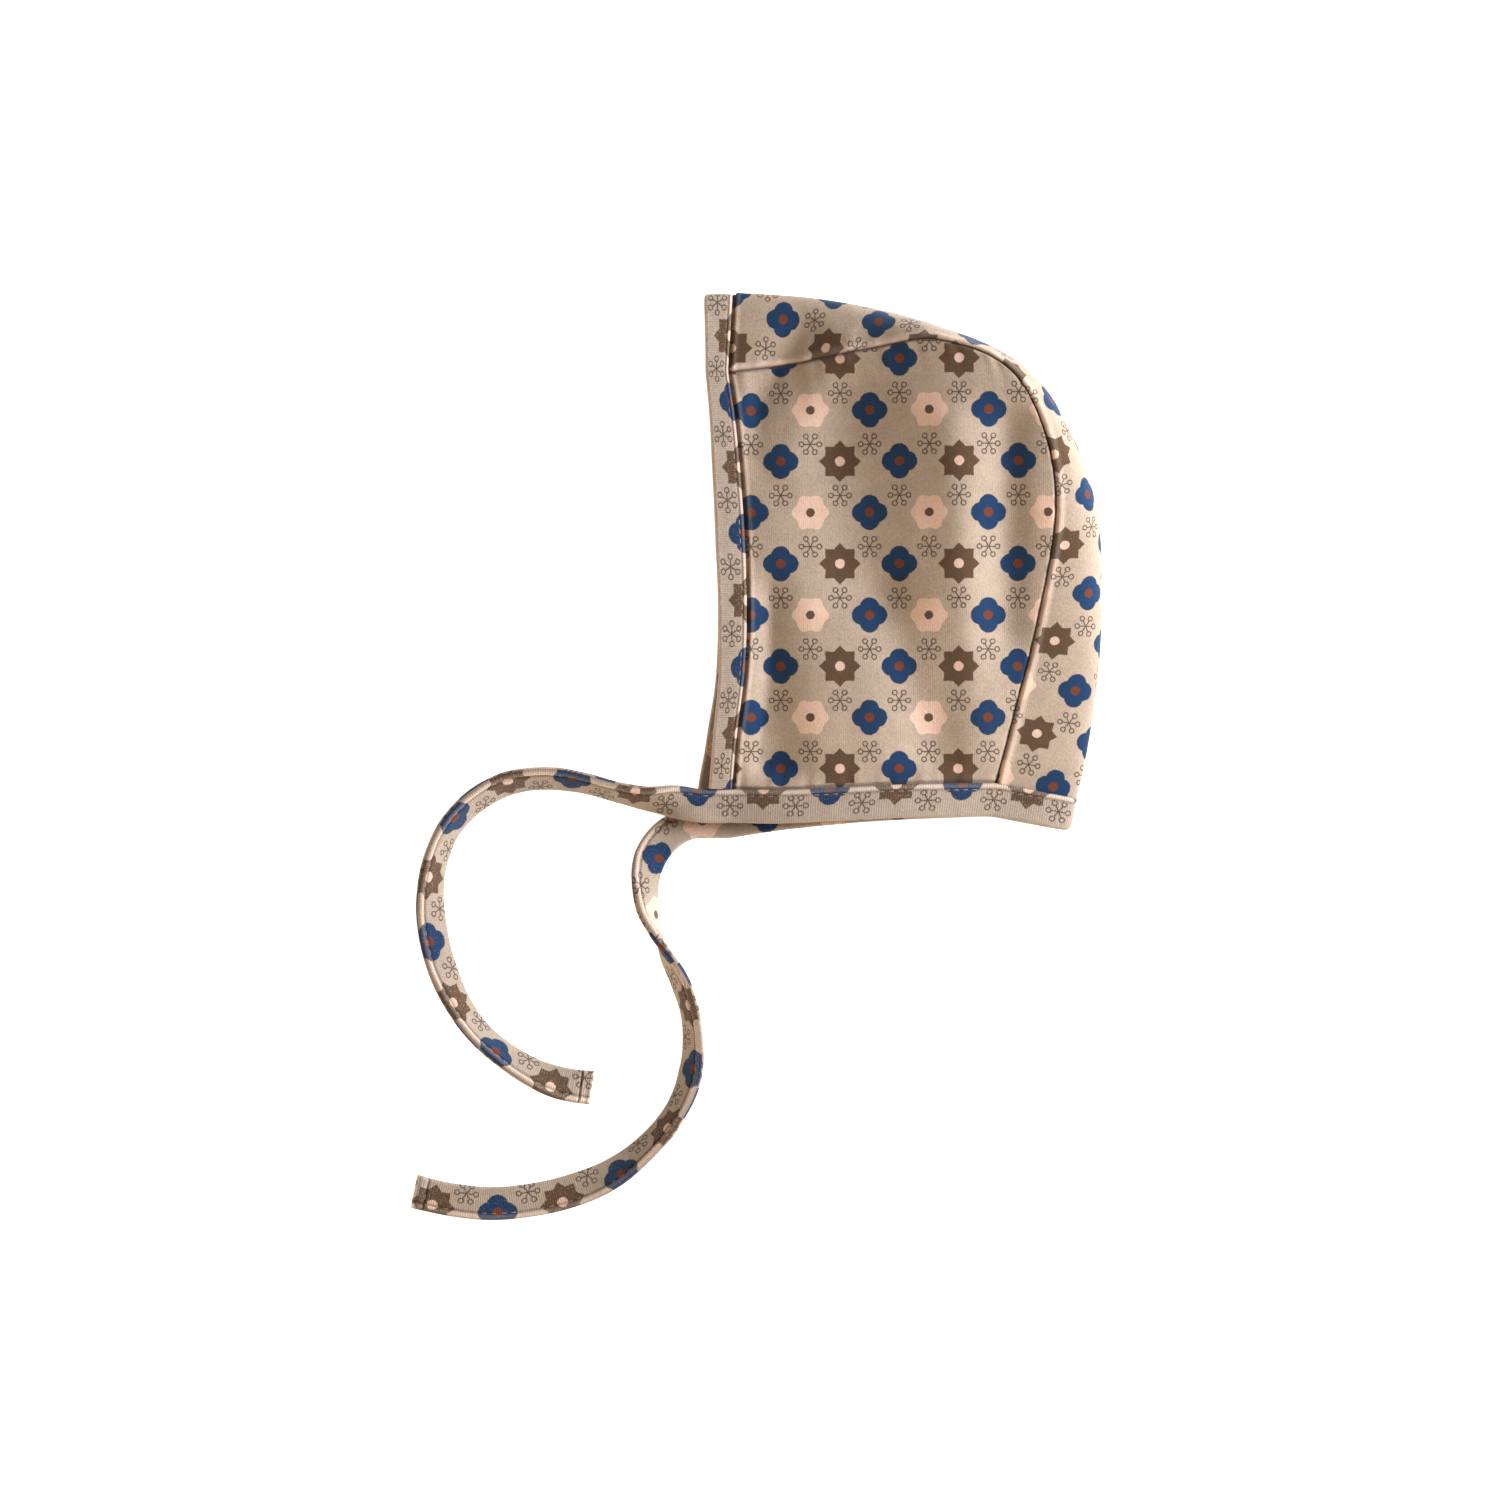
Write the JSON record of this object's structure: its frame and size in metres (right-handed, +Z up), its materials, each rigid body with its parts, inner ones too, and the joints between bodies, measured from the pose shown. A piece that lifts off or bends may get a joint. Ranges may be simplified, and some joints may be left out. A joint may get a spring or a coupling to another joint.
{
  "type": "baby bonnet",
  "caption": "Soft pilot-cap bonnet of printed cotton knit lying on its side, with two side panels, a crown gusset, a face band and a neck band that runs on into two ties.",
  "frame": {"origin": "on the surface that the bonnet lies on, under the middle of the bonnet without its ties", "axes": "+Z up from the surface, +X from the face opening to the back of the head, +Y from the neck to the crown"},
  "size_m": [0.2424, 0.3256, 0.0341],
  "materials": {
    "printed_knit": "matte brushed cotton knit, taupe ground with a small all-over print in blue, brown and cream",
    "printed_knit_gusset": "the same printed knit, its print turned to run along the gusset",
    "knit_binding": "the same printed knit folded double, with fine wales across the band and a row of stitches",
    "knit_tie": "the same printed knit folded into a flat tie with one stitched edge"
  },
  "bodies": {
    "root": {"near_side_panel": "printed_knit", "far_side_panel": "printed_knit", "crown_gusset": "printed_knit_gusset", "face_band": "knit_binding", "neck_band": "knit_binding", "near_tie": "knit_tie", "far_tie": "knit_tie"}
  },
  "joints": []
}
